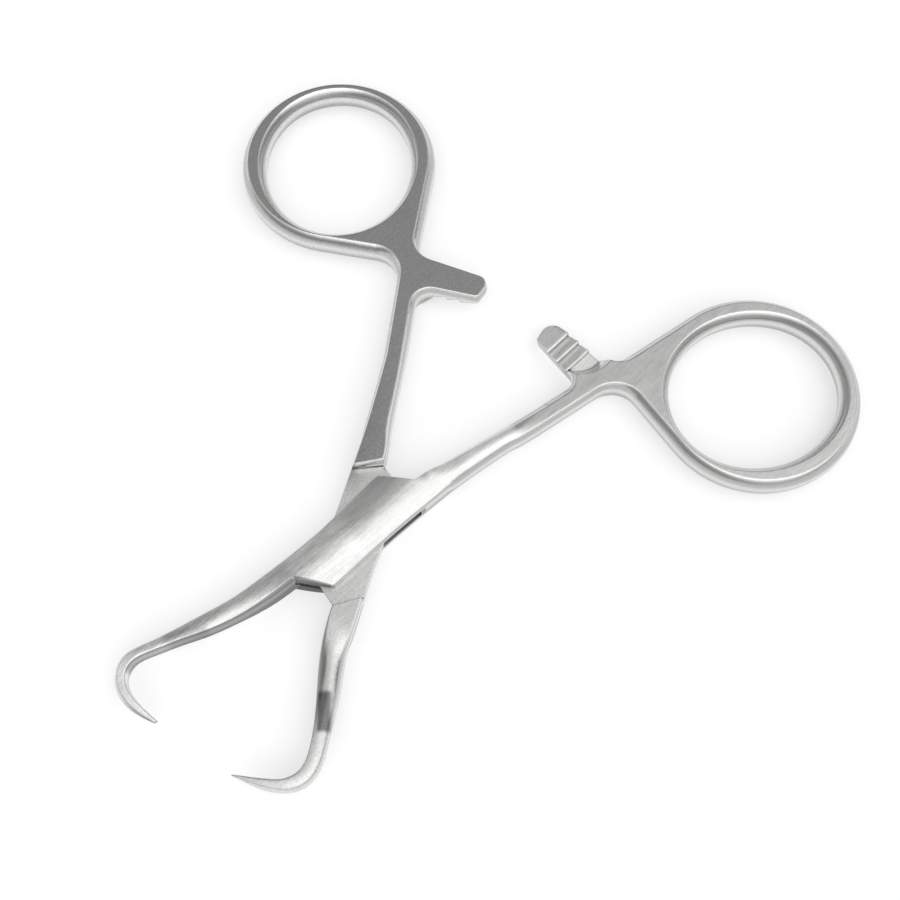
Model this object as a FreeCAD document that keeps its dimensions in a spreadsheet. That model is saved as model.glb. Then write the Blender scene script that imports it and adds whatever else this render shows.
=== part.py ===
import FreeCAD, Part
import math
import os

# Towel clamp: two ring-handled arms that cross in a slotted box on one pin.
# Frame: origin on the pin's axis where the underside of the box rests, +Z up along the pin,
# +Y from the pin towards the finger rings. The arms stand open, as they lie in use on a tray.
# Both arms are drawn as a right-hand arm. The tongue arm is then mirrored to the left.

sizes = [
    ("boxThickness", 5.0, "box, through the middle of its crown"),
    ("boxEdgeDrop", 0.85, "how much lower the box is along its edges than at its crown"),
    ("boxSideBulge", 0.15, "swell of the box's side walls"),
    ("restFlatDepth", 0.05, "depth of the flat ground under the box"),
    ("slotHeight", 1.4, "slot through the box"),
    ("slotReach", 7.96, "from the pin's axis to each end wall of the slot"),
    ("slotCorner", 0.35, "radius in the slot's end corners"),
    ("tongueThickness", 1.3, "tongue that runs in the slot"),
    ("upperStepReach", 8.4, "from the pin's axis to the step beside the shank"),
    ("lowerStepReach", 7.95, "from the pin's axis to the step beside the jaw"),
    ("pinRadius", 1.25, "pivot pin"),
    ("pinClearance", 0.04, "radial running clearance of the pin in the tongue"),
    ("handleThickness", 3.8, "ring, neck and ratchet bar"),
    ("ringDistance", 52.15, "from the pin's axis to the centre of a finger ring"),
    ("ringAngle", 36.81, "degrees from the centre line to the centre of a ring"),
    ("ringHoleWidth", 19.45, "finger hole, across its oval"),
    ("ringHoleLength", 21.5, "finger hole, along its oval"),
    ("ringDiameter", 25.95, "ring, outside"),
    ("ringShift", 0.25, "how much further out the ring's outside is centred than its hole"),
    ("ringLean", 32.8, "degrees from the centre line to the oval's long axis"),
    ("ringBulge", 0.95, "swell of the ring's rounded sides"),
    ("barBulge", 0.25, "swell of the ratchet bar's sides"),
    ("barRootRadius", 2.6, "fillet between ratchet bar and shank"),
    ("barNeckRadius", 3.4, "fillet between ratchet bar and ring"),
    ("outerNeckRadius", 4.2, "fillet between shank and ring, outside"),
    ("barTipRadius", 1.2, "rounding of the bar's far corner"),
    ("barHeelRadius", 0.5, "rounding of the bar's near corner"),
    ("toothPitch", 1.75, "ratchet"),
    ("toothHeight", 0.55, "ratchet"),
    ("toothLand", 0.22, "flat on top of each ratchet tooth"),
    ("toothCount", 3, "ratchet teeth on each arm"),
    ("toothClearance", 0.03, "from the middle plane to the tips of the teeth"),
    ("toothFaceRun", 0.12, "lean of a tooth's steep face"),
    ("firstTooth", 2.05, "from the root of the ratchet to the steep face of its first tooth"),
    ("barEndDrop", 0.9, "how far the ratchet falls away from its last tooth to the bar's end"),
    ("ratchetLean", 13.0, "degrees that the ratchet bar leans up from straight across"),
    ("runOutFloor", 3.4, "radius of the ratchet's run-out at its floor"),
    ("runOutTop", 4.9, "radius of the ratchet's run-out at the top of the arm"),
    ("slotTurn", 41.5, "degrees from +X to the normal of the slot's end walls"),
    ("upperStepTurn", 47.0, "degrees from +X to the normal of the step beside the shank"),
    ("lowerStepTurn", 41.0, "degrees from +X to the normal of the step beside the jaw"),
    ("ledgeReach", 8.57, "from the pin's axis to the foot of the ledge in the upper step"),
    ("ledgeTurn", 54.4, "degrees from +X to the normal of that ledge"),
    ("ledgeHeight", 0.25, "ledge in the upper step, above the tongue"),
    ("tongueEdgeDrop", 0.25, "how much lower the tongue arm's edges are than the box's crown"),
    ("tongueCrownDrop", 0.2, "how much lower its middle is than the box's crown"),
    ("tongueInnerBulge", 0.2, "swell of its inner side"),
    ("tongueOuterBulge", 0.5, "swell of its outer side"),
]

doc = FreeCAD.newDocument("TowelClamp")
sheet = doc.addObject("Spreadsheet::Sheet", "Sizes")
for row, (alias, value, note) in enumerate(sizes, 1):
    sheet.set("A%d" % row, note)
    sheet.set("B%d" % row, str(value))
    sheet.setAlias("B%d" % row, alias)
doc.recompute()


def size(alias):
    return float(sheet.get(alias))


def vec(x, y, z=0.0):
    return FreeCAD.Vector(x, y, z)


def heading(degrees):
    """Unit vector in plan, turned anticlockwise from +X."""
    return vec(math.cos(math.radians(degrees)), math.sin(math.radians(degrees)))


middle = size("boxThickness") / 2
handleHalf = size("handleThickness") / 2


# Cross-sections of an arm, each upright over two points of its plan outline

class Section:
    def __init__(self, left, right, leftHalf, crownHalf, rightHalf, leftBulge, rightBulge):
        self.left = left
        self.right = right
        self.leftHalf = leftHalf
        self.crownHalf = crownHalf
        self.rightHalf = rightHalf
        self.leftBulge = leftBulge
        self.rightBulge = rightBulge

    def point(self, share, out, up):
        """A point over a share of the width, moved further out sideways and up."""
        across = self.right - self.left
        side = across * (out / across.Length)
        return self.left + across * share + side + vec(0, 0, middle + up)

    def topAt(self, share):
        """Half height of the crown at a share of the width."""
        rise = self.crownHalf - (self.leftHalf + self.rightHalf) / 2
        level = self.leftHalf + (self.rightHalf - self.leftHalf) * share
        return level + 4 * rise * share * (1 - share)

    def partOf(self, low, high, leftBulge, rightBulge):
        """The part between two shares of the width, under the same crown."""
        across = self.right - self.left
        return Section(self.left + across * low, self.left + across * high,
                       self.topAt(low), self.topAt((low + high) / 2), self.topAt(high),
                       leftBulge, rightBulge)

    def poles(self):
        """Poles of four parabolas round the section: top, right side, underside, left side."""
        crown = 2 * self.crownHalf - (self.leftHalf + self.rightHalf) / 2
        return [(self.point(0, 0, self.leftHalf), 0),
                (self.point(0.5, 0, crown), 0.5),
                (self.point(1, 0, self.rightHalf), 1),
                (self.point(1, 2 * self.rightBulge, 0), 1),
                (self.point(1, 0, -self.rightHalf), 1),
                (self.point(0.5, 0, -crown), 0.5),
                (self.point(0, 0, -self.leftHalf), 0),
                (self.point(0, -2 * self.leftBulge, 0), 0)]

    def face(self):
        ring = [pole for pole, share in self.poles()]
        edges = []
        for start in (0, 2, 4, 6):
            curve = Part.BezierCurve()
            curve.setPoles([ring[start], ring[start + 1], ring[(start + 2) % 8]])
            edges.append(curve.toShape())
        return Part.Face(Part.Wire(edges))


def blend(directions, share):
    left, right = directions
    return (left * (1 - share) + right * share).normalize()


def solidFrom(faces):
    shell = Part.Compound(faces)
    shell.sewShape()
    solid = Part.Solid(shell.Shells[0])
    if solid.Volume < 0:
        solid.reverse()
    return solid


def skinOver(sections, startDirections=None, endDirections=None):
    """A solid whose four sides run smoothly through all the sections."""
    stations = [section.poles() for section in sections]
    reach = [0.0]
    for before, after in zip(sections, sections[1:]):
        step = (after.left + after.right - before.left - before.right).Length / 2
        reach.append(reach[-1] + step)
    runs = []
    for column in range(8):
        points = [station[column][0] for station in stations]
        share = stations[0][column][1]
        tangents = [vec(0, 0, 0)] * len(points)
        flags = [False] * len(points)
        if startDirections:
            tangents[0] = blend(startDirections, share)
            flags[0] = True
        if endDirections:
            tangents[-1] = blend(endDirections, share)
            flags[-1] = True
        run = Part.BSplineCurve()
        run.interpolate(Points=points, Parameters=reach, Tangents=tangents, TangentFlags=flags)
        runs.append(run)
    faces = [sections[0].face(), sections[-1].face()]
    for start in (0, 2, 4, 6):
        trio = [runs[start], runs[start + 1], runs[(start + 2) % 8]]
        surface = Part.BSplineSurface()
        surface.buildFromPolesMultsKnots(
            [run.getPoles() for run in trio], [3, 3], trio[0].getMultiplicities(),
            [0, 1], trio[0].getKnots(), False, False, 2, trio[0].Degree)
        faces.append(surface.toShape())
    return solidFrom(faces)


# Plan outline of ring, neck and ratchet bar

def crossing(pointA, alongA, pointB, alongB):
    """Where two straight lines in plan cross."""
    turn = alongA.x * alongB.y - alongA.y * alongB.x
    gap = pointB - pointA
    reach = (gap.x * alongB.y - gap.y * alongB.x) / turn
    return pointA + alongA * reach


def leftOf(along):
    return vec(-along.y, along.x)


class Run:
    """A run of an outline in plan: its start, middle pole and end, straight if the weight is 1."""

    def __init__(self, start, middle, end, weight=1.0):
        self.poles = [start, middle, end]
        self.weights = [1.0, weight, 1.0]

    def edgeAt(self, level):
        curve = Part.BezierCurve()
        curve.setPoles([pole + level for pole in self.poles])
        curve.setWeight(2, self.weights[1])
        return curve.toShape()

    def wallTo(self, wide, levels):
        """The side over this run, whose section is a round arc out to a wider run and back."""
        ends = [arcWeight(self.poles[column], wide.poles[column], levels) for column in (0, 2)]
        arcWeights = [ends[0], (ends[0] + ends[1]) / 2, ends[1]]
        surface = Part.BezierSurface()
        surface.increase(2, 2)
        for column in range(3):
            near = self.weights[column]
            out = wide.weights[column]
            low = (self.poles[column] + levels[0]) * near
            high = (self.poles[column] + levels[2]) * near
            share = 1 + arcWeights[column]
            weight = out * share - near
            pole = (wide.poles[column] + levels[1]) * (out * share) - (low + high) / 2
            surface.setPole(column + 1, 1, low / near, near)
            surface.setPole(column + 1, 2, pole / weight, weight)
            surface.setPole(column + 1, 3, high / near, near)
        return surface.toShape()


class Turn:
    """A run that turns about a centre, from its start and through some degrees."""

    def __init__(self, centre, start, degrees):
        self.centre = centre
        self.start = start
        self.degrees = degrees

    def pointAfter(self, share):
        turned = FreeCAD.Rotation(vec(0, 0, 1), self.degrees * share)
        return self.centre + turned.multVec(self.start - self.centre)

    def edgeAt(self, level):
        return Part.Arc(*(self.pointAfter(share) + level for share in (0, 0.5, 1))).toShape()

    def wallTo(self, wide, levels):
        section = Part.Arc(self.start + levels[0], wide.start + levels[1], self.start + levels[2])
        axis = vec(0, 0, math.copysign(1, self.degrees))
        return section.toShape().revolve(self.centre, axis, abs(self.degrees))


def arcWeight(near, out, levels):
    """Weight of the middle pole that makes a section a round arc."""
    rise = (out - near).Length / ((levels[2] - levels[0]).Length / 2)
    return (1 - rise ** 2) / (1 + rise ** 2)


def straight(start, end):
    return Run(start, (start + end) / 2, end)


def roundedCorner(before, corner, after, radius):
    """The fillet of a corner."""
    toBefore = (before - corner).normalize()
    toAfter = (after - corner).normalize()
    half = toBefore.getAngle(toAfter) / 2
    inset = radius / math.tan(half)
    return Run(corner + toBefore * inset, corner, corner + toAfter * inset, math.sin(half))


def swellingSolid(narrow, wide):
    """Flat above and below over a narrow outline, with sides that swell to a wide one."""
    levels = [vec(0, 0, middle + handleHalf * side) for side in (-1, 0, 1)]
    faces = [Part.Face(Part.Wire([run.edgeAt(level) for run in narrow]))
             for level in (levels[0], levels[2])]
    faces += [near.wallTo(out, levels) for near, out in zip(narrow, wide)]
    return solidFrom(faces)


holeCentre = heading(90 - size("ringAngle")) * size("ringDistance")
ringAlong = heading(90 - size("ringLean"))
ringCentre = holeCentre + ringAlong * size("ringShift")


class Circle:
    """Outside of a ring in plan."""

    def __init__(self, radius):
        self.radius = radius

    def point(self, degrees):
        return ringCentre + heading(degrees) * self.radius

    def touchFrom(self, outside, side):
        """Degrees round to the point where a line from outside touches the circle."""
        gap = outside - ringCentre
        turn = math.atan2(gap.y, gap.x) + side * math.acos(self.radius / gap.Length)
        return math.degrees(turn)


def ringHole(growth):
    """The oval hole of a ring, grown all round: a round arc at each end and each side.

    The arcs meet on the slopes of 3-4-5 triangles, whatever the oval's two widths are."""
    halfWide = size("ringHoleWidth") / 2
    excess = size("ringHoleLength") / 2 - halfWide
    endRadius = halfWide - excess / 2 + growth
    sideRadius = halfWide + 2 * excess + growth
    slope = math.degrees(math.atan2(4, 3))
    found = []
    for side in (1, -1):
        endCentre = holeCentre + ringAlong * (side * 1.5 * excess)
        begin = FreeCAD.Rotation(vec(0, 0, 1), -slope).multVec(ringAlong * side)
        found.append(Turn(endCentre, endCentre + begin * endRadius, 2 * slope))
        sideCentre = holeCentre - leftOf(ringAlong) * (side * 2 * excess)
        begin = FreeCAD.Rotation(vec(0, 0, 1), slope).multVec(ringAlong * side)
        found.append(Turn(sideCentre, sideCentre + begin * sideRadius, 180 - 2 * slope))
    return found


# plan points of the handle's corners, before rounding, at its flat top
barHeel = vec(4.6, 34.2)
barTip = vec(4.5, 37.25)
barNeck = vec(15.4, 35.0)
outerNeck = vec(16.15, 35.1)


class Handle:
    """Ring, neck and bar in plan, grown sideways by a share of each side's bulge."""

    def __init__(self, neck, share):
        jointInner, jointOuter, barRoot, innerBulge, outerBulge = neck
        innerSide = innerBulge * share
        outerSide = outerBulge * share
        bar = size("barBulge") * share
        ring = size("ringBulge") * share
        flatRing = Circle(size("ringDiameter") / 2 - size("ringBulge"))
        self.ring = Circle(flatRing.radius + ring)
        upperTouch = flatRing.point(flatRing.touchFrom(barNeck, -1))
        lowerTouch = flatRing.point(flatRing.touchFrom(outerNeck, 1))
        # each straight side is moved out by its own growth, and its ends are found again
        sides = [(jointInner, barRoot, innerSide), (barRoot, barHeel, bar), (barHeel, barTip, bar),
                 (barTip, barNeck, bar), (barNeck, upperTouch, ring), (lowerTouch, outerNeck, ring),
                 (outerNeck, jointOuter, outerSide)]
        lines = []
        for start, end, growth in sides:
            along = (end - start).normalize()
            lines.append((start + leftOf(along) * growth, along))
        closing = (jointOuter, (jointInner - jointOuter).normalize())
        self.inner = crossing(*closing, *lines[0])
        self.root = crossing(*lines[0], *lines[1])
        self.heel = crossing(*lines[1], *lines[2])
        self.tip = crossing(*lines[2], *lines[3])
        self.neck = crossing(*lines[3], *lines[4])
        self.outerNeck = crossing(*lines[5], *lines[6])
        self.outer = crossing(*lines[6], *closing)
        self.radii = [size("barRootRadius") - innerSide, size("barHeelRadius") + bar,
                      size("barTipRadius") + bar, size("barNeckRadius") - ring,
                      size("outerNeckRadius") - ring]

    def runs(self):
        first = self.ring.touchFrom(self.neck, -1)
        last = self.ring.touchFrom(self.outerNeck, 1)
        ringStart = self.ring.point(first)
        ringEnd = self.ring.point(last)
        corners = [self.inner, self.root, self.heel, self.tip, self.neck, ringStart]
        found = []
        position = self.inner
        for index in range(1, 5):
            fillet = roundedCorner(corners[index - 1], corners[index], corners[index + 1],
                                   self.radii[index - 1])
            found += [straight(position, fillet.poles[0]), fillet]
            position = fillet.poles[2]
        fillet = roundedCorner(ringEnd, self.outerNeck, self.outer, self.radii[4])
        return found + [straight(position, ringStart),
                        Turn(ringCentre, ringStart, -((first - last) % 360)),
                        straight(ringEnd, fillet.poles[0]), fillet,
                        straight(fillet.poles[2], self.outer), straight(self.outer, self.inner)]


# The two kinds of arm differ in the crown of their shanks and in the shape of their jaws.
# Each station of a shank or jaw is: left and right edge in plan, half height at the left edge,
# at the crown and at the right edge, bulge of the left and of the right side.

# left and right corners of the box in plan: upper end, middle, lower end
boxOfBoxArm = [(vec(-1.87, 7.2), vec(5.85, 10.35)),
               (vec(-3.58, -1.41), vec(3.33, 1.51)),
               (vec(-6.1, -10.1), vec(1.36, -6.92))]
boxOfTongueArm = [(vec(-1.87, 7.4), vec(5.98, 10.4)),
                  (vec(-3.50, -1.38), vec(3.42, 1.45)),
                  (vec(-6.1, -10.1), vec(1.30, -7.0))]
# where the shank meets the neck: inner and outer edge of its flat top, the corner that the
# inner edge makes with the ratchet bar, and the swell of the inner and outer side
neckOfBoxArm = (vec(10.75, 26.05), vec(12.0, 25.4), vec(13.05, 31.25), 1.0, 0.45)
neckOfTongueArm = (vec(10.12, 26.15), vec(11.68, 25.45), vec(12.58, 31.41), 0.65, 0.6)


# a length past every side of the box, for cuts that go right through
wellPast = 8 * size("slotReach")


def bindTo(feature, **expressions):
    for name, text in expressions.items():
        feature.setExpression(name, text)


def fused(name, shapes):
    feature = doc.addObject("Part::MultiFuse", name)
    feature.Shapes = shapes
    return feature


def cut(name, base, tool):
    feature = doc.addObject("Part::Cut", name)
    feature.Base = base
    feature.Tool = tool
    return feature


def firmForm(name, solid):
    feature = doc.addObject("Part::Feature", name)
    feature.Shape = solid
    return feature


def directionsOf(first, second):
    """Plan directions of the left and right edges from one section to the next."""
    return ((second.left - first.left).normalize(), (second.right - first.right).normalize())


def buildBlank(name, form):
    flat = Handle(form["neck"], 0)
    full = Handle(form["neck"], 1)
    outline = firmForm(name + "_outline", swellingSolid(flat.runs(), full.runs()))
    hole = firmForm(name + "_ring_hole", swellingSolid(ringHole(size("ringBulge")), ringHole(0)))
    handle = cut(name + "_handle", outline, hole)
    # box, between its upper and its lower end
    edge, crown = form["boxHeights"]
    bulges = form["boxBulges"]
    upper, centre, lower = [Section(left, right, edge, crown, edge, *bulges)
                            for left, right in form["box"]]
    # shank, from the box's upper end to the neck
    rootShare = form["shankRootShare"]
    root = upper.partOf(rootShare, 1, *bulges)
    neck = Section(flat.inner, flat.outer, handleHalf, handleHalf, handleHalf,
                   (full.inner - flat.inner).Length, (full.outer - flat.outer).Length)
    shank = [root] + [Section(*station) for station in form["shank"]] + [neck]
    # jaw, from the box's lower end to its point
    jawShare = form["jawRootShare"]
    base = lower.partOf(0, jawShare, *bulges)
    jaw = [base] + [Section(*station) for station in form["jaw"]]
    # the outer edge of the shank and that of the jaw run on smoothly from the box
    left, right = directionsOf(lower, upper)
    right = (right + (shank[1].right - root.right).normalize()).normalize()
    upward = (left, right)
    atRoot = (blend(upward, rootShare), right)
    left, right = directionsOf(centre, lower)
    left = (left + (jaw[1].left - base.left).normalize()).normalize()
    downward = (left, right)
    atBase = (left, blend(downward, jawShare))
    neckward = ((flat.root - flat.inner).normalize(), (flat.outerNeck - flat.outer).normalize())
    forms = [handle,
             firmForm(name + "_box", skinOver([upper, centre, lower],
                                              tuple(-along for along in upward), downward)),
             firmForm(name + "_shank", skinOver(shank, atRoot, neckward)),
             firmForm(name + "_jaw", skinOver(jaw, atBase))]
    return fused(name, forms)


shankOfBoxArm = [
    (vec(4.10, 12.97), vec(6.40, 11.95), 1.62, 2.15, 1.50, 0.50, 0.30),
    (vec(5.40, 15.48), vec(7.34, 14.55), 1.60, 2.05, 1.50, 0.62, 0.35),
    (vec(7.98, 20.50), vec(9.45, 19.80), 1.65, 1.98, 1.58, 0.80, 0.42),
]
jawOfBoxArm = [
    (vec(-8.04, -14.97), vec(-6.0, -15.8), 1.30, 1.75, 1.50, 0.30, 0.15),
    (vec(-9.60, -17.90), vec(-8.0, -19.0), 1.20, 1.60, 1.50, 0.30, 0.15),
    (vec(-11.20, -20.90), vec(-10.0, -21.6), 1.10, 1.45, 1.45, 0.30, 0.15),
    (vec(-12.95, -23.90), vec(-12.0, -24.4), 1.15, 1.35, 1.40, 0.30, 0.20),
    (vec(-14.15, -26.70), vec(-13.1, -26.6), 1.10, 1.25, 1.30, 0.40, 0.20),
    (vec(-13.55, -28.60), vec(-12.75, -28.2), 0.95, 1.05, 1.15, 0.45, 0.20),
    (vec(-12.15, -29.85), vec(-11.65, -29.2), 0.75, 0.85, 0.95, 0.45, 0.20),
    (vec(-10.1, -30.45), vec(-10.0, -29.75), 0.50, 0.60, 0.70, 0.35, 0.10),
    (vec(-6.85, -30.45), vec(-6.75, -30.2), 0.15, 0.20, 0.20, 0.10, 0.05),
]

shankOfTongueArm = [
    (vec(4.10, 12.62), vec(6.45, 11.90), 2.20, 2.20, 2.20, 0.42, 0.55),
    (vec(5.34, 15.40), vec(7.35, 14.60), 2.10, 2.10, 2.10, 0.42, 0.58),
    (vec(7.74, 21.05), vec(9.38, 20.25), 1.97, 1.97, 1.97, 0.50, 0.60),
]
jawOfTongueArm = [
    (vec(-6.85, -13.02), vec(-4.90, -13.80), 1.50, 1.90, 1.45, 0.35, 0.60),
    (vec(-8.95, -17.60), vec(-7.30, -18.35), 1.35, 1.70, 1.35, 0.35, 0.40),
    (vec(-10.35, -21.15), vec(-8.95, -21.70), 1.25, 1.50, 1.35, 0.25, 0.25),
    (vec(-11.25, -23.60), vec(-9.80, -23.90), 1.20, 1.40, 1.30, 0.30, 0.20),
    (vec(-11.45, -26.10), vec(-10.05, -26.00), 1.15, 1.30, 1.25, 0.35, 0.20),
    (vec(-10.35, -28.10), vec(-9.20, -27.60), 1.00, 1.15, 1.15, 0.40, 0.20),
    (vec(-8.35, -29.30), vec(-7.90, -28.50), 0.75, 0.90, 0.90, 0.35, 0.15),
    (vec(-6.20, -29.95), vec(-6.00, -29.42), 0.45, 0.55, 0.55, 0.25, 0.10),
    (vec(-3.80, -30.50), vec(-3.75, -30.42), 0.05, 0.06, 0.06, 0.03, 0.02),
]


def halfSpace(name, turn, reach, side, floor, top):
    """A wide block on the pin's side of one upright wall. Side 1 has the wall ahead of the pin."""
    extent = wellPast
    block = doc.addObject("Part::Box", name)
    bindTo(block, Height="%s - (%s)" % (top, floor))
    block.Length = extent
    block.Width = extent
    along = heading(size(turn)) * side
    block.Placement = FreeCAD.Placement(along * (size(reach) - extent) - leftOf(along) * (extent / 2),
                                        FreeCAD.Rotation(vec(1, 0, 0), along))
    block.setExpression("Placement.Base.z", floor)
    return block


def between(name, walls, floor, top):
    """The space across the box between upright walls, from a floor to a top."""
    blocks = [halfSpace("%s_%d" % (name, index), turn, reach, side, floor, top)
              for index, (turn, reach, side) in enumerate(walls)]
    space = doc.addObject("Part::MultiCommon", name)
    space.Shapes = blocks
    return space


def pinHole(name, radius):
    hole = doc.addObject("Part::Cylinder", name)
    bindTo(hole, Radius=radius, Height="Sizes.boxThickness + 2")
    hole.Placement.Base = vec(0, 0, -1)
    return hole


# Ratchet. Its profile runs from the root to the bar's free end, over the teeth.
ratchetRoot = vec(12.5, 34.2)
alongBar = heading(180 - size("ratchetLean"))
acrossBar = vec(alongBar.y, -alongBar.x)
ratchetSpan = 1.4 * size("handleThickness")   # half width of the cut, wider than the bar
ratchetEnd = 9.5           # past the bar's free end
runOutCentre = (3.6, 0.95)  # along and across the bar
outside = handleHalf + 1


def onBar(run, side, up, facing):
    """A point of the ratchet. Facing 1 has its teeth upwards, -1 downwards."""
    return ratchetRoot + alongBar * run + acrossBar * side + vec(0, 0, middle + facing * up)


def ratchetCut(name, facing):
    """What is cut away over the bar: the space over the teeth and a round run-out at their root."""
    tip = -size("toothClearance")
    floor = tip - size("toothHeight")
    face = size("toothFaceRun")
    root = size("firstTooth") - face
    profile = [(root, outside), (root, floor)]
    for index in range(int(size("toothCount"))):
        start = size("firstTooth") + index * size("toothPitch")
        if index:
            profile.append((start - face, floor))
        profile += [(start, tip), (start + size("toothLand"), tip)]
    profile += [(ratchetEnd, tip - size("barEndDrop")), (ratchetEnd, outside)]
    corners = [onBar(run, -ratchetSpan, up, facing) for run, up in profile]
    side = Part.Face(Part.makePolygon(corners + corners[:1]))
    teeth = firmForm(name + "_teeth", side.extrude(acrossBar * (2 * ratchetSpan)))
    cone = doc.addObject("Part::Cone", name + "_cone")
    slope = (size("runOutTop") - size("runOutFloor")) / (handleHalf - floor)
    cone.Radius1 = size("runOutFloor")
    cone.Radius2 = size("runOutFloor") + slope * (outside - floor)
    cone.Height = outside - floor
    cone.Placement = FreeCAD.Placement(onBar(*runOutCentre, floor, facing),
                                       FreeCAD.Rotation(vec(0, 0, 1), vec(0, 0, facing)))
    rootward = doc.addObject("Part::Box", name + "_rootward")
    rootward.Length = 2 * ratchetSpan
    rootward.Width = 2 * ratchetSpan
    rootward.Height = 4 * outside
    turned = FreeCAD.Rotation(vec(1, 0, 0), -alongBar)
    corner = onBar(root, 0, -2 * outside, 1) - leftOf(-alongBar) * ratchetSpan
    rootward.Placement = FreeCAD.Placement(corner, turned)
    run_out = doc.addObject("Part::Common", name + "_run_out")
    run_out.Base = cone
    run_out.Tool = rootward
    return fused(name, [teeth, run_out])


# Box arm: blank, slot for the tongue, hole for the pin, ratchet on its upper side
box_blank = buildBlank("box_blank", {
    "neck": neckOfBoxArm,
    "box": boxOfBoxArm,
    "boxHeights": (middle - size("boxEdgeDrop"), middle + size("restFlatDepth")),
    "boxBulges": (size("boxSideBulge"), size("boxSideBulge")),
    "shankRootShare": 0.56,
    "shank": shankOfBoxArm,
    "jawRootShare": 0.40,
    "jaw": jawOfBoxArm,
})
slot = doc.addObject("Part::Box", "slot")
bindTo(slot, Length="2 * Sizes.slotReach", Height="Sizes.slotHeight")
slot.Width = wellPast
slotAlong = heading(size("slotTurn"))
slot.Placement = FreeCAD.Placement(slotAlong * -size("slotReach") - leftOf(slotAlong) * (wellPast / 2),
                                   FreeCAD.Rotation(vec(1, 0, 0), slotAlong))
slot.setExpression("Placement.Base.z", "Sizes.boxThickness / 2 - Sizes.slotHeight / 2")
doc.recompute()
longEdges = [number for number, edge in enumerate(slot.Shape.Edges, 1)
             if abs(edge.Length - slot.Width.Value) < 0.001]
rounded_slot = doc.addObject("Part::Fillet", "rounded_slot")
rounded_slot.Base = slot
rounded_slot.Edges = [(number, size("slotCorner"), size("slotCorner")) for number in longEdges]
ground = doc.addObject("Part::Box", "ground_flat")
ground.Length = 2 * wellPast
ground.Width = 2 * wellPast
bindTo(ground, Height="Sizes.boxThickness")
ground.Placement.Base = vec(-wellPast, -wellPast, -size("boxThickness"))
box_tools = fused("box_tools", [rounded_slot, pinHole("cheek_hole", "Sizes.pinRadius"),
                                ratchetCut("upper_ratchet_cut", 1), ground])
box_arm = cut("box_arm", box_blank, box_tools)

# Tongue arm: blank, thinned to a tongue between its two steps, hole with running clearance,
# ratchet on its underside, and the whole mirrored to the left
tongue_blank = buildBlank("tongue_blank", {
    "neck": neckOfTongueArm,
    "box": boxOfTongueArm,
    "boxHeights": (middle - size("tongueEdgeDrop"), middle - size("tongueCrownDrop")),
    "boxBulges": (size("tongueInnerBulge"), size("tongueOuterBulge")),
    "shankRootShare": 0.54,
    "shank": shankOfTongueArm,
    "jawRootShare": 0.45,
    "jaw": jawOfTongueArm,
})
upperStep = ("upperStepTurn", "upperStepReach", 1)
lowerStep = ("lowerStepTurn", "lowerStepReach", -1)
ledge = ("ledgeTurn", "ledgeReach", 1)
tongueTop = "Sizes.boxThickness / 2 + Sizes.tongueThickness / 2"
tongueFloor = "Sizes.boxThickness / 2 - Sizes.tongueThickness / 2"
reliefs = [between("relief_above", [upperStep, lowerStep, ledge], tongueTop,
                   "Sizes.boxThickness + 1"),
           between("relief_over_ledge", [upperStep, lowerStep], tongueTop + " + Sizes.ledgeHeight",
                   "Sizes.boxThickness + 1"),
           between("relief_below", [upperStep, lowerStep], "-1", tongueFloor)]
tongue_tools = fused("tongue_tools", reliefs + [
    pinHole("tongue_hole", "Sizes.pinRadius + Sizes.pinClearance"),
    ratchetCut("lower_ratchet_cut", -1)])
tongue_right = cut("tongue_right", tongue_blank, tongue_tools)
tongue_arm = doc.addObject("Part::Mirroring", "tongue_arm")
tongue_arm.Source = tongue_right
tongue_arm.Normal = vec(1, 0, 0)

# Pivot pin: through both cheeks, ground to the crown of the box above and to its flat below
pin_round = pinHole("pin_round", "Sizes.pinRadius")
pin_crowned = doc.addObject("Part::Common", "pin_crowned")
pin_crowned.Base = pin_round
pin_crowned.Tool = doc.getObject("box_blank_box")
pivot_pin = cut("pivot_pin", pin_crowned, ground)

doc.recompute()
for item in doc.Objects:
    if "Invalid" in item.State or "Error" in item.State:
        raise RuntimeError("%s did not rebuild: %s" % (item.Name, item.State))
os.makedirs("parts", exist_ok=True)
for node in (box_arm, tongue_arm, pivot_pin):
    node.Label = node.Name
    shape = node.Shape
    if shape.isNull() or not shape.isValid() or len(shape.Solids) != 1:
        raise RuntimeError("%s is not one valid solid" % node.Label)
    print(node.Label, round(shape.Volume, 2), len(shape.Faces), shape.BoundBox)
    shape.exportStep("parts/%s.step" % node.Label)
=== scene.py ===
import math
import bpy
from mathutils import Matrix, Quaternion, Vector

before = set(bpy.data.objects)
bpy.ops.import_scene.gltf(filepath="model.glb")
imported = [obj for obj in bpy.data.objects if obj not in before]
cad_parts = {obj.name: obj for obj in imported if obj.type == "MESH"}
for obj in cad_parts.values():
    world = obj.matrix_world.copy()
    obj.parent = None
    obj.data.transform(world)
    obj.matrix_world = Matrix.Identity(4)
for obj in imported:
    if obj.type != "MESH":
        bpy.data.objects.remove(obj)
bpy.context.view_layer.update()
print("frame loaded:", ", ".join(sorted(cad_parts)))


# small helpers for node trees

def feedSocket(tree, value, socket):  # an output is linked, a plain value is set
    if isinstance(value, bpy.types.NodeSocket):
        tree.links.new(value, socket)
    else:
        socket.default_value = value


def addNode(tree, kind, place, inputs=None, **settings):
    node = tree.nodes.new(kind)
    node.location = place
    for name, value in settings.items():
        setattr(node, name, value)
    for name, value in (inputs or {}).items():
        feedSocket(tree, value, node.inputs[name])
    return node


def mathNode(tree, operation, place, *values):
    inputs = dict(enumerate(values))
    return addNode(tree, "ShaderNodeMath", place, inputs, operation=operation).outputs[0]


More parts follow.
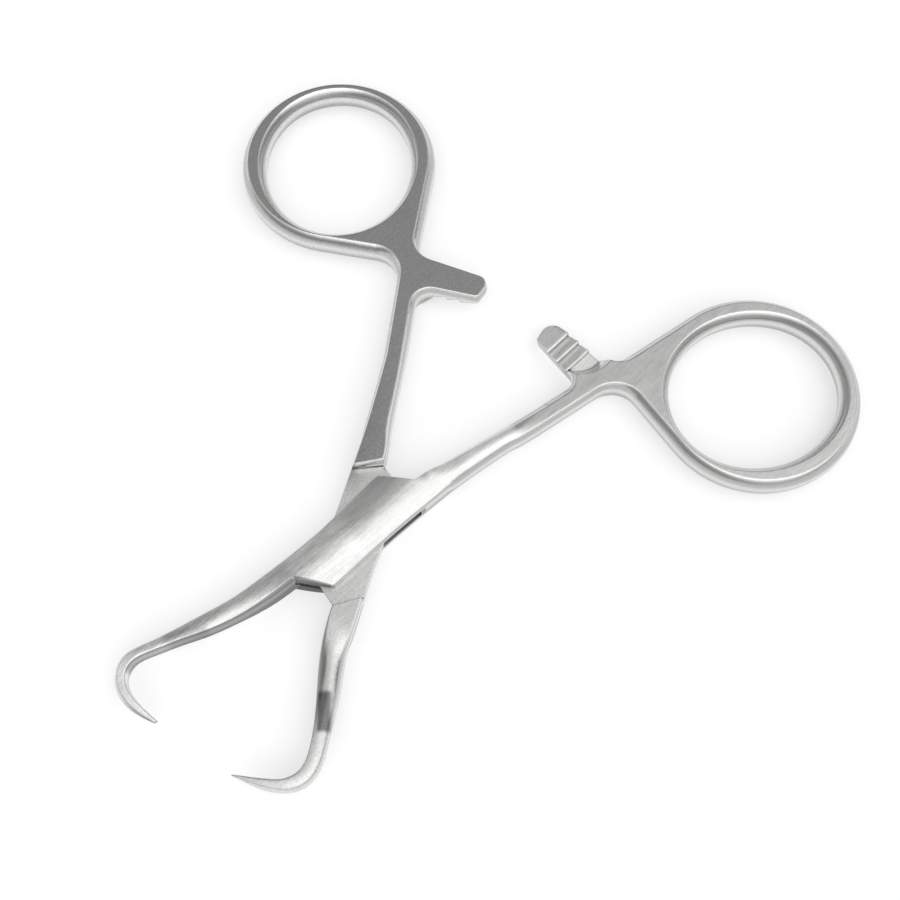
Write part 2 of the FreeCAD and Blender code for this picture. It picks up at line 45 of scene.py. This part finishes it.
def mixNode(tree, place, factor, first, second, dataType="FLOAT"):
    inputs = {"Factor": factor, "A": first, "B": second}
    return addNode(tree, "ShaderNodeMix", place, inputs, data_type=dataType).outputs["Result"]


def fadeNode(tree, place, value, start, stop, low=0.0, high=1.0, curve="SMOOTHSTEP"):
    inputs = {"Value": value, "From Min": start, "From Max": stop, "To Min": low, "To Max": high}
    return addNode(tree, "ShaderNodeMapRange", place, inputs, interpolation_type=curve).outputs["Result"]


def gainNode(tree, place, mask, gain):  # 1 outside the mask, the gain inside it
    added = mathNode(tree, "MULTIPLY", place, mask, gain - 1.0)
    return mathNode(tree, "ADD", (place[0] + 140, place[1]), added, 1.0)


def pinDistance(tree, place, parts):  # how far a point lies from the pin's axis
    plan = addNode(tree, "ShaderNodeCombineXYZ", place, {axis: parts.outputs[axis] for axis in "XY"})
    reach = addNode(tree, "ShaderNodeVectorMath", (place[0] + 180, place[1]), {0: plan.outputs[0]},
                    operation="LENGTH")
    return reach.outputs["Value"]


def startGroup(name, vectors, numbers, outputs):
    group = bpy.data.node_groups.new(name, "ShaderNodeTree")
    face = group.interface
    for socketName in vectors:
        face.new_socket(socketName, in_out="INPUT", socket_type="NodeSocketVector")
    for socketName, value in numbers.items():
        socket = face.new_socket(socketName, in_out="INPUT", socket_type="NodeSocketFloat")
        socket.default_value = value
    for socketName in outputs:
        face.new_socket(socketName, in_out="OUTPUT", socket_type="NodeSocketFloat")
    start = addNode(group, "NodeGroupInput", (-1100, 0))
    end = addNode(group, "NodeGroupOutput", (700, 0))
    return group, start.outputs, end.inputs


# brushLines: fine scratches that run one way, in metres of Object coordinates

def makeBrushLines():
    group, given, result = startGroup(
        "brushLines", ["Vector"], {"Turn": 0.0, "Line Width": 0.00012, "Line Length": 0.004}, ["Lines"])
    turned = addNode(group, "ShaderNodeVectorRotate", (-700, 0),
                     {"Vector": given["Vector"], "Angle": given["Turn"]}, rotation_type="Z_AXIS")
    parts = addNode(group, "ShaderNodeSeparateXYZ", (-520, 0), {"Vector": turned.outputs[0]})
    stretched = {}
    for axis, size, y in (("X", "Line Length", 120), ("Y", "Line Width", -40), ("Z", "Line Width", -200)):
        stretched[axis] = mathNode(group, "DIVIDE", (-340, y), parts.outputs[axis], given[size])
    place = addNode(group, "ShaderNodeCombineXYZ", (-160, 0), stretched).outputs[0]
    fine = addNode(group, "ShaderNodeTexNoise", (20, 120),
                   {"Vector": place, "Scale": 1.0, "Detail": 2.0, "Roughness": 0.6})
    broad = addNode(group, "ShaderNodeTexNoise", (20, -120),
                    {"Vector": place, "Scale": 0.22, "Detail": 1.0, "Roughness": 0.5})
    broadShare = 0.6  # how much the broad lines count beside the fine ones
    wide = mathNode(group, "MULTIPLY", (200, -120), broad.outputs["Fac"], broadShare)
    both = mathNode(group, "ADD", (360, 0), fine.outputs["Fac"], wide)
    centred = mathNode(group, "SUBTRACT", (520, 0), both, 0.5 * (1 + broadShare))
    feedSocket(group, centred, result["Lines"])
    return group


# satinGrain: fine blasted speckle, and broad clouds in it

def makeSatinGrain():
    group, given, result = startGroup(
        "satinGrain", ["Vector"], {"Grain Size": 0.00015, "Cloud Size": 0.003}, ["Grain", "Clouds"])
    for size, output, y in (("Grain Size", "Grain", 150), ("Cloud Size", "Clouds", -150)):
        scale = mathNode(group, "DIVIDE", (-500, y), 1.0, given[size])
        noise = addNode(group, "ShaderNodeTexNoise", (-300, y),
                        {"Vector": given["Vector"], "Scale": scale, "Detail": 2.0, "Roughness": 0.6})
        centred = mathNode(group, "SUBTRACT", (-80, y), noise.outputs["Fac"], 0.5)
        feedSocket(group, centred, result[output])
    return group


# groundFlats: 1 where the surface lies flat, 0 on its rounded sides

def makeGroundFlats():
    group, given, result = startGroup("groundFlats", ["Normal"], {"From": 0.78, "To": 0.90}, ["Flat"])
    parts = addNode(group, "ShaderNodeSeparateXYZ", (-400, 0), {"Vector": given["Normal"]})
    upright = mathNode(group, "ABSOLUTE", (-220, 0), parts.outputs["Z"])
    flat = fadeNode(group, (0, 0), upright, given["From"], given["To"])
    feedSocket(group, flat, result["Flat"])
    return group


# nearPin: 1 within a reach of the pin and a height of the middle plane, for the ground tongue on the tongue
# arm and for the painted shade in the box arm's slot

def makeNearPin():
    group, given, result = startGroup(
        "nearPin", ["Vector"], {"Reach": 0.0088, "Half Height": 0.00092, "Middle": 0.0025}, ["Near"])
    parts = addNode(group, "ShaderNodeSeparateXYZ", (-700, 0), {"Vector": given["Vector"]})
    fromPin = pinDistance(group, (-520, 120), parts)
    inside = mathNode(group, "LESS_THAN", (-160, 120), fromPin, given["Reach"])
    rise = mathNode(group, "SUBTRACT", (-520, -120), parts.outputs["Z"], given["Middle"])
    rise = mathNode(group, "ABSOLUTE", (-340, -120), rise)
    level = mathNode(group, "LESS_THAN", (-160, -120), rise, given["Half Height"])
    feedSocket(group, mathNode(group, "MULTIPLY", (60, 0), inside, level), result["Near"])
    return group


# facingJawFaces: 1 on faces below a line across the arm that look one way, which are made darker and rougher

def makeFiledFaces():
    group, given, result = startGroup(
        "facingJawFaces", ["Vector", "Normal", "Facing"], {"Top": -0.0070, "From": 0.35, "To": 0.65}, ["Filed"])
    aim = addNode(group, "ShaderNodeVectorMath", (-700, 150), {0: given["Normal"], 1: given["Facing"]},
                  operation="DOT_PRODUCT")
    facing = fadeNode(group, (-500, 150), aim.outputs["Value"], given["From"], given["To"])
    parts = addNode(group, "ShaderNodeSeparateXYZ", (-700, -100), {"Vector": given["Vector"]})
    below = mathNode(group, "LESS_THAN", (-500, -100), parts.outputs["Y"], given["Top"])
    feedSocket(group, mathNode(group, "MULTIPLY", (-100, 0), facing, below), result["Filed"])
    return group


# tonePatch: 1 inside a soft-edged oblong on the plan, 0 outside it

def makeTonePatch():
    group, given, result = startGroup(
        "tonePatch", ["Vector", "Middle"],
        {"Turn": 0.0, "Half Length": 0.002, "Half Width": 0.001, "Fade": 0.0005}, ["Patch"])
    offset = addNode(group, "ShaderNodeVectorMath", (-900, 0), {0: given["Vector"], 1: given["Middle"]},
                     operation="SUBTRACT")
    turned = addNode(group, "ShaderNodeVectorRotate", (-700, 0),
                     {"Vector": offset.outputs[0], "Angle": given["Turn"]}, rotation_type="Z_AXIS")
    parts = addNode(group, "ShaderNodeSeparateXYZ", (-520, 0), {"Vector": turned.outputs[0]})
    masks = []
    for axis, size, y in (("X", "Half Length", 150), ("Y", "Half Width", -150)):
        distance = mathNode(group, "ABSOLUTE", (-340, y), parts.outputs[axis])
        inside = mathNode(group, "SUBTRACT", (-180, y), given[size], distance)
        faded = mathNode(group, "DIVIDE", (-20, y), inside, given["Fade"])
        masks.append(fadeNode(group, (140, y), faded, 0.0, 1.0))
    feedSocket(group, mathNode(group, "MULTIPLY", (320, 0), *masks), result["Patch"])
    return group


brushLines = makeBrushLines()
satinGrain = makeSatinGrain()
groundFlats = makeGroundFlats()
nearPin = makeNearPin()
facingJawFaces = makeFiledFaces()
tonePatch = makeTonePatch()
print("shader groups built")


# steel of one piece: brush lines and grain move its colour, roughness and bump; painted shade and light
# darken and lighten its colour in places

def makeSteel(name, finish):
    material = bpy.data.materials.new(name)
    material.use_nodes = True
    tree = material.node_tree
    steel = tree.nodes["Principled BSDF"].inputs
    steel["Metallic"].default_value = 1.0
    coords = addNode(tree, "ShaderNodeTexCoord", (-1700, 0)).outputs
    place = addNode(tree, "ShaderNodeSeparateXYZ", (-1500, -700), {"Vector": coords["Object"]})

    def addEffect(group, y, inputs):
        return addNode(tree, "ShaderNodeGroup", (-1200, y), inputs, node_tree=group).outputs

    lines = addEffect(brushLines, 300, {
        "Vector": coords["Object"], "Turn": math.radians(finish["lineTurn"]),
        "Line Width": finish["lineWidth"], "Line Length": finish["lineLength"]})["Lines"]
    grain = addEffect(satinGrain, 0, {
        "Vector": coords["Object"], "Grain Size": finish["grainSize"], "Cloud Size": finish["cloudSize"]})
    flat = addEffect(groundFlats, -250, {"Normal": coords["Normal"]})["Flat"]
    tongueAndSlot = addEffect(nearPin, -450, {
        "Vector": coords["Object"], "Half Height": finish["tongueHalf"]})["Near"]
    jawFace = addEffect(facingJawFaces, -650, {
        "Vector": coords["Object"], "Normal": coords["Normal"], "Facing": finish["jawFaceAim"]})["Filed"]
    patches = []
    for index, patch in enumerate(finish["patches"]):
        mask = addEffect(tonePatch, 600 + 220 * index, {
            "Vector": coords["Object"], "Middle": (*patch["middle"], 0), "Turn": math.radians(patch["turn"]),
            "Half Length": patch["halfLength"], "Half Width": patch["halfWidth"], "Fade": patch["fade"]})
        patches.append((mask["Patch"], patch))
    # the handle above the pin may have another finish than the jaw
    handle = fadeNode(tree, (-1200, -850), place.outputs["Y"], 0.0, finish["handleRise"], curve="LINEAR")
    onSides = mathNode(tree, "SUBTRACT", (-1000, -1700), 1.0, flat)

    # colour: the base tone, moved a little by lines, grain and clouds
    lineShare = mixNode(tree, (-1000, 460), handle, finish["lineTone"], finish["handleLineTone"])
    flatShare = mixNode(tree, (-1000, 260), flat, finish["sideLines"], 1.0)
    lineTone = mathNode(tree, "MULTIPLY", (-820, 400), lines, lineShare)
    lineTone = mathNode(tree, "MULTIPLY", (-820, 340), lineTone, flatShare)
    grainTone = mathNode(tree, "MULTIPLY", (-820, 240), grain["Grain"], finish["grainTone"])
    cloudTone = mathNode(tree, "MULTIPLY", (-820, 80), grain["Clouds"], finish["cloudTone"])
    tone = mathNode(tree, "ADD", (-640, 320), lineTone, grainTone)
    tone = mathNode(tree, "ADD", (-500, 320), tone, cloudTone)
    tone = mathNode(tree, "ADD", (-360, 320), tone, 1.0)
    # rounded sides: a painted dark reflection band below the rim, and painted shade at the foot
    reflectionBandTop = fadeNode(tree, (-820, -1500), place.outputs["Z"], *finish["reflectionBandTop"])
    reflectionBandEnd = fadeNode(tree, (-820, -1700), place.outputs["Z"], *finish["reflectionBandEnd"])
    reflectionBand = mathNode(tree, "MULTIPLY", (-640, -1500), reflectionBandTop, reflectionBandEnd)
    reflectionBand = mathNode(tree, "MULTIPLY", (-500, -1500), reflectionBand, onSides)
    footShade = fadeNode(tree, (-820, -1900), place.outputs["Z"], *finish["footShadeFade"])
    footShade = mathNode(tree, "MULTIPLY", (-500, -1900), footShade, onSides)
    # painted light also lifts the rounded sides a little
    areas = [(jawFace, finish["jawFaceTone"]), (tongueAndSlot, finish["tongueFinishAndSlotShadeTone"]), (reflectionBand, finish["reflectionBandTone"]),
             (onSides, finish["sideLightTone"]), (footShade, finish["footShadeTone"])]
    areas += [(mask, patch["tone"]) for mask, patch in patches]
    for index, (mask, gain) in enumerate(areas):
        share = gainNode(tree, (-640, 1600 - 160 * index), mask, gain)
        tone = mathNode(tree, "MULTIPLY", (-360, 1600 - 160 * index), tone, share)
    # inner corners hold less light
    corner = addNode(tree, "ShaderNodeAmbientOcclusion", (-820, -60), {"Distance": finish["cornerReach"]},
                     samples=6, only_local=True)
    shade = fadeNode(tree, (-640, -60), corner.outputs["AO"], *finish["cornerOpen"],
                     low=finish["cornerTone"], curve="LINEAR")
    tone = mathNode(tree, "MULTIPLY", (-220, 100), tone, shade)
    colour = addNode(tree, "ShaderNodeVectorMath", (-80, 300), {0: finish["colour"], "Scale": tone},
                     operation="SCALE")
    feedSocket(tree, colour.outputs[0], steel["Base Color"])

    # roughness: jaw and handle, then the ground areas, the rounded sides and the jaw faces that look one way
    rough = mixNode(tree, (-1000, -350), handle, finish["jawRoughness"], finish["handleRoughness"])
    areas = [(tongueAndSlot, finish["tongueRoughness"])] + [(mask, patch["roughness"]) for mask, patch in patches]
    for index, (mask, value) in enumerate(areas):
        rough = mixNode(tree, (-820, -2100 - 200 * index), mask, rough, value)
    rough = mixNode(tree, (-640, -400), flat, finish["sideRoughness"], rough)
    rough = mixNode(tree, (-460, -400), jawFace, rough, finish["jawFaceRoughness"])
    lineRough = mathNode(tree, "MULTIPLY", (-640, -600), lineTone, finish["lineRoughness"])
    rough = mathNode(tree, "ADD", (-460, -600), lineRough, rough)
    feedSocket(tree, rough, steel["Roughness"])

    # bump: lines and grain, over edges that tumbling has softened, but not round the flush pin
    lineHeight = mathNode(tree, "MULTIPLY", (-640, -780), lineTone, finish["lineHeight"])
    grainHeight = mathNode(tree, "MULTIPLY", (-640, -920), grain["Grain"], finish["grainHeight"])
    height = mathNode(tree, "ADD", (-460, -800), lineHeight, grainHeight)
    fromPin = pinDistance(tree, (-1200, -1080), place)
    radius = fadeNode(tree, (-820, -1260), fromPin, *finish["boxFade"],
                      low=finish["boxEdge"], high=finish["edgeRadius"], curve="LINEAR")
    edges = addNode(tree, "ShaderNodeBevel", (-640, -1080), {"Radius": radius}, samples=8)
    flush = mathNode(tree, "LESS_THAN", (-820, -1080), fromPin, finish["flushReach"])
    shape = addNode(tree, "ShaderNodeNewGeometry", (-640, -1260))
    soft = mixNode(tree, (-460, -1080), flush, edges.outputs["Normal"], shape.outputs["Normal"], "VECTOR")
    bump = addNode(tree, "ShaderNodeBump", (-260, -900),
                   {"Height": height, "Normal": soft, "Strength": 1.0, "Distance": 1.0})
    feedSocket(tree, bump.outputs[0], steel["Normal"])
    return material


# what all three steels share, in metres and degrees
anySteel = {
    "lineTurn": -76.0, "lineWidth": 0.00006, "lineRoughness": 0.3,
    "sideLines": 0.25,  # share of the lines left on the rounded sides
    "handleRise": 0.002,  # above the pin, where the jaw's finish turns into the handle's
    # on the box arm the same height holds the painted shade in the slot
    "tongueHalf": 0.00073,  # half the height in which the tongue's own finish shows
    "jawFaceRoughness": 0.50,
    # heights: where the painted reflection band below the rim starts and ends, and where the painted shade
    # at the foot sets in
    "reflectionBandTop": (0.0044, 0.0040), "reflectionBandEnd": (0.0030, 0.0037), "footShadeFade": (0.0031, 0.0018),
    "reflectionBandTone": 0.66, "footShadeTone": 0.50,
    # corners: how far they reach, the openness at which they are darkest and clear, and how dark
    "cornerReach": 0.0005, "cornerOpen": (0.40, 0.72), "cornerTone": 0.25,
    # edges stay small near the box, and soften between these distances from the pin
    "boxFade": (0.010, 0.013), "boxEdge": 0.00010, "edgeRadius": 0.00032,
}
boxArmSteel = {
    **anySteel,
    "colour": (0.70, 0.70, 0.692),
    "sideRoughness": 0.24, "jawRoughness": 0.46, "handleRoughness": 0.42,
    # near the pin, at the slot's height, the box arm is painted darker: painted shade in the slot
    "tongueRoughness": 0.60, "tongueFinishAndSlotShadeTone": 0.38,
    "lineLength": 0.0008, "lineTone": 0.80, "handleLineTone": 0.48, "lineHeight": 0.000005,
    "grainSize": 0.00016, "grainTone": 0.36, "grainHeight": 0.0000008,
    "cloudSize": 0.004, "cloudTone": 0.06, "sideLightTone": 1.02,
    "jawFaceAim": (0.75, -0.66, 0.0), "jawFaceTone": 0.60,
    "flushReach": 0.0019,  # this close to the pin's axis, edges stay sharp
    "patches": [
        # ratchet: painted light, lighter than the rest
        {"middle": (0.0082, 0.0345), "turn": 6.1, "halfLength": 0.0049, "halfWidth": 0.0026,
         "fade": 0.0008, "tone": 1.36, "roughness": 0.52},
        # end wall of the lower cheek: painted shade
        {"middle": (-0.0006, -0.0078), "turn": -21.6, "halfLength": 0.0024, "halfWidth": 0.00030,
         "fade": 0.00012, "tone": 0.45, "roughness": 0.50},
        # darker diagonal band on the jaw
        {"middle": (-0.0098, -0.0206), "turn": -45.0, "halfLength": 0.0030, "halfWidth": 0.0010,
         "fade": 0.0009, "tone": 0.78, "roughness": 0.45},
        # lower half of the crown: painted highlight
        {"middle": (-0.0020, -0.0044), "turn": -70.7, "halfLength": 0.0050, "halfWidth": 0.0030,
         "fade": 0.0018, "tone": 1.20, "roughness": 0.46},
        # bend of the jaw: painted highlight
        {"middle": (-0.0125, -0.0256), "turn": -67.6, "halfLength": 0.0040, "halfWidth": 0.0020,
         "fade": 0.0013, "tone": 1.24, "roughness": 0.46},
        # inner side of the shank, next to the box: painted light over a dark reflection
        {"middle": (0.0059, 0.0159), "turn": -64.8, "halfLength": 0.0067, "halfWidth": 0.0016,
         "fade": 0.0012, "tone": 1.34, "roughness": 0.60},
    ],
}
tongueArmSteel = {
    **anySteel,
    "colour": (0.67, 0.67, 0.662),
    "sideRoughness": 0.22, "jawRoughness": 0.46, "handleRoughness": 0.20,
    "tongueRoughness": 0.46, "tongueFinishAndSlotShadeTone": 1.10,
    "lineLength": 0.0010, "lineTone": 0.40, "handleLineTone": 0.22, "lineHeight": 0.000004,
    "grainSize": 0.00019, "grainTone": 0.66, "grainHeight": 0.0000010,
    "cloudSize": 0.005, "cloudTone": 0.05, "sideLightTone": 1.08,
    "jawFaceAim": (-0.95, -0.30, 0.0), "jawFaceTone": 0.58, "flushReach": 0.0,
    "patches": [
        # painted dark reflection on the jaw
        {"middle": (0.0087, -0.0193), "turn": 57.0, "halfLength": 0.0026, "halfWidth": 0.00115,
         "fade": 0.0007, "tone": 0.24, "roughness": 0.30},
        # shank, darker towards the box
        {"middle": (-0.0074, 0.0106), "turn": 66.4, "halfLength": 0.0090, "halfWidth": 0.0040,
         "fade": 0.0050, "tone": 0.80, "roughness": 0.20},
        # painted shade line at the foot of the upper step
        {"middle": (-0.0035, 0.0079), "turn": -38.2, "halfLength": 0.0024, "halfWidth": 0.00013,
         "fade": 0.00008, "tone": 0.40, "roughness": 0.46},
        # painted shade line at the foot of the lower step
        {"middle": (0.0037, -0.0073), "turn": -47.0, "halfLength": 0.0021, "halfWidth": 0.00012,
         "fade": 0.00008, "tone": 0.45, "roughness": 0.46},
    ],
}
# the pin takes the box's steel without its painted corner shade, slot shade and reflection band
pinSteel = dict(boxArmSteel, cornerTone=1.0, tongueFinishAndSlotShadeTone=1.0, reflectionBandTone=1.0)  # as the box, with no shading

finishes = {
    "box_arm": makeSteel("brushedSteel", boxArmSteel),
    "tongue_arm": makeSteel("satinSteel", tongueArmSteel),
    "pivot_pin": makeSteel("pinSteel", pinSteel),
}
for nodeName, finish in finishes.items():
    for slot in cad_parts[nodeName].material_slots:
        slot.material = finish
print("steel finishes on", len(finishes), "nodes")


# floor, light and camera

floorLook = {"halfWidth": 1.5, "colour": (0.58, 0.58, 0.58), "lift": 0.50}

def makeFloor(look):
    half = look["halfWidth"]
    mesh = bpy.data.meshes.new("floor")
    corners = [(-half, -half, 0), (half, -half, 0), (half, half, 0), (-half, half, 0)]
    mesh.from_pydata(corners, [], [(0, 1, 2, 3)])
    floor = bpy.data.objects.new("floor", mesh)
    bpy.context.scene.collection.objects.link(floor)
    material = bpy.data.materials.new("paleFloor")
    material.use_nodes = True
    tree = material.node_tree
    surface = tree.nodes["Principled BSDF"].inputs
    surface["Base Color"].default_value = (*look["colour"], 1)
    surface["Roughness"].default_value = 1.0
    surface["Specular IOR Level"].default_value = 0.0
    surface["Emission Color"].default_value = (1, 1, 1, 1)
    # lifted to white for the eye and for what mirrors it, and it keeps the shadow
    path = addNode(tree, "ShaderNodeLightPath", (-700, -300)).outputs
    seen = mathNode(tree, "MAXIMUM", (-500, -300), path["Is Camera Ray"], path["Is Glossy Ray"])
    seen = mathNode(tree, "MAXIMUM", (-340, -300), seen, path["Is Transmission Ray"])
    lift = mathNode(tree, "MULTIPLY", (-180, -300), seen, look["lift"])
    feedSocket(tree, lift, surface["Emission Strength"])
    mesh.materials.append(material)


# levels over the height of a direction: pale table edge, dim room, bright ceiling
studio = {
    "levels": [(0.0, 0.95), (0.06, 0.90), (0.17, 0.36), (0.42, 0.38), (0.62, 0.88), (1.0, 0.92)],
    # light or dark patches: where, how much they add, and the angles where they start and end to fade
    "patches": [((0.50, -0.30, 0.80), 0.84, 20.0, 53.0),
                ((-0.45, 0.42, 0.79), -0.59, 16.0, 38.0)],
}

def makeStudio(look):
    world = bpy.data.worlds.new("studio")
    bpy.context.scene.world = world
    world.use_nodes = True
    tree = world.node_tree
    sky = tree.nodes["Background"].inputs
    coords = addNode(tree, "ShaderNodeTexCoord", (-1300, 0))
    unit = addNode(tree, "ShaderNodeVectorMath", (-1100, 0), {0: coords.outputs["Generated"]},
                   operation="NORMALIZE").outputs[0]
    parts = addNode(tree, "ShaderNodeSeparateXYZ", (-900, -200), {"Vector": unit})
    ramp = addNode(tree, "ShaderNodeValToRGB", (-700, -200), {"Fac": parts.outputs["Z"]})
    ramp.color_ramp.interpolation = "EASE"
    stops = ramp.color_ramp.elements
    while len(stops) < len(look["levels"]):
        stops.new(0.5)
    for stop, (height, level) in zip(stops, look["levels"]):
        stop.position = height
        stop.color = (level, level, level, 1)
    level = ramp.outputs["Color"]
    for index, (place, strength, inner, outer) in enumerate(look["patches"]):
        y = 300 * index + 200
        aim = addNode(tree, "ShaderNodeVectorMath", (-900, y), {0: unit, 1: Vector(place).normalized()},
                      operation="DOT_PRODUCT")
        start, stop = (math.cos(math.radians(angle)) for angle in (outer, inner))
        added = fadeNode(tree, (-700, y), aim.outputs["Value"], start, stop, high=strength)
        level = mathNode(tree, "ADD", (-300, y), added, level)
    path = addNode(tree, "ShaderNodeLightPath", (-300, -250))
    shown = mixNode(tree, (-120, 0), path.outputs["Is Camera Ray"], level, 1.0)
    feedSocket(tree, shown, sky["Strength"])
    sky["Color"].default_value = (1, 1, 1, 1)


cameraView = {
    "place": (0.033795, -0.031972, 0.143215),
    "target": (0.002796, 0.016128, 0.0),
    "lens": 49.48,
    "roll": -0.28,
}

def makeCamera(look):
    data = bpy.data.cameras.new("camera")
    data.sensor_width = 36.0
    data.lens = look["lens"]
    data.clip_start = 0.005
    camera = bpy.data.objects.new("camera", data)
    bpy.context.scene.collection.objects.link(camera)
    ahead = Vector(look["target"]) - Vector(look["place"])
    aim = ahead.to_track_quat("-Z", "Y")
    roll = Quaternion((0, 0, 1), math.radians(look["roll"]))
    camera.matrix_world = Matrix.Translation(look["place"]) @ (aim @ roll).to_matrix().to_4x4()
    bpy.context.scene.camera = camera


makeFloor(floorLook)
makeStudio(studio)
makeCamera(cameraView)
bpy.context.scene.view_settings.view_transform = "Standard"
print("floor, studio and camera set")
